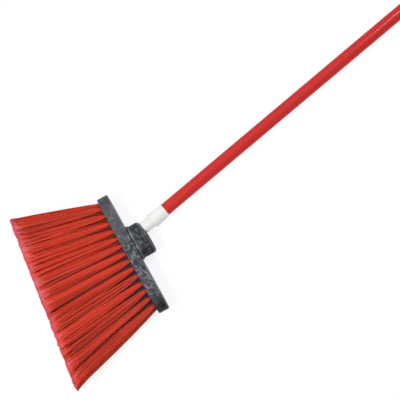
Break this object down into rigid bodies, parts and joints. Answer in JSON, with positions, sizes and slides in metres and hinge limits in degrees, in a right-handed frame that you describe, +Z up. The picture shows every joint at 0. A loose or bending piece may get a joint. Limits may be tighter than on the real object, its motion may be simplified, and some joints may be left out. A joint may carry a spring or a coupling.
{
  "type": "angle broom",
  "caption": "Angle broom with a slanted trim of flared red bristle tufts in a dark moulded block, and a long handle that screws into the block's boss.",
  "frame": {"origin": "on the floor, below the middle of the broom's bounding box, with the broom lying flat", "axes": "+X along the handle away from the head, +Y to the short bristles, +Z up from the floor"},
  "size_m": [1.455, 0.2934, 0.0589],
  "materials": {
    "bristle": "satin",
    "staple_steel": "satin",
    "foam_plastic": "satin",
    "white_plastic": "satin",
    "tube_steel": "satin",
    "red_skin": "gloss",
    "cap_plastic": "satin"
  },
  "bodies": {
    "head": {"tuft_front_01": "bristle", "tuft_front_02": "bristle", "tuft_front_03": "bristle", "tuft_front_04": "bristle", "tuft_front_05": "bristle", "tuft_front_06": "bristle", "tuft_front_07": "bristle", "tuft_front_08": "bristle", "tuft_front_09": "bristle", "tuft_front_10": "bristle", "tuft_front_11": "bristle", "tuft_front_12": "bristle", "tuft_front_13": "bristle", "tuft_front_14": "bristle", "tuft_middle_01": "bristle", "tuft_middle_02": "bristle", "tuft_middle_03": "bristle", "tuft_middle_04": "bristle", "tuft_middle_05": "bristle", "tuft_middle_06": "bristle", "tuft_middle_07": "bristle", "tuft_middle_08": "bristle", "tuft_middle_09": "bristle", "tuft_middle_10": "bristle", "tuft_middle_11": "bristle", "tuft_middle_12": "bristle", "tuft_middle_13": "bristle", "tuft_middle_14": "bristle", "tuft_middle_15": "bristle", "tuft_back_01": "bristle", "tuft_back_02": "bristle", "tuft_back_03": "bristle", "tuft_back_04": "bristle", "tuft_back_05": "bristle", "tuft_back_06": "bristle", "tuft_back_07": "bristle", "tuft_back_08": "bristle", "tuft_back_09": "bristle", "tuft_back_10": "bristle", "tuft_back_11": "bristle", "tuft_back_12": "bristle", "tuft_back_13": "bristle", "tuft_back_14": "bristle", "anchor_staples": "staple_steel", "block": "foam_plastic"},
    "handle_core": {"handle_tube": "tube_steel"},
    "handle": {"handle_sleeve": "red_skin", "threaded_tip": "white_plastic", "hang_cap": "cap_plastic"}
  },
  "joints": [
    {"name": "handle_advance", "type": "slide", "parent": "head", "child": "handle_core", "axis": [0.9999, 0, -0.0117], "range_m": [0, 0.0254]},
    {"name": "handle_turn", "type": "hinge", "parent": "handle_core", "child": "handle", "pos_m": [-0.46628, -0.00841, 0.02614], "axis": [0.9999, 0, -0.0117], "range_deg": [0, 1800]}
  ],
  "couplings": [
    {"joint": "handle_turn", "follows": "handle_advance", "rad_per_m": 1236.8}
  ]
}
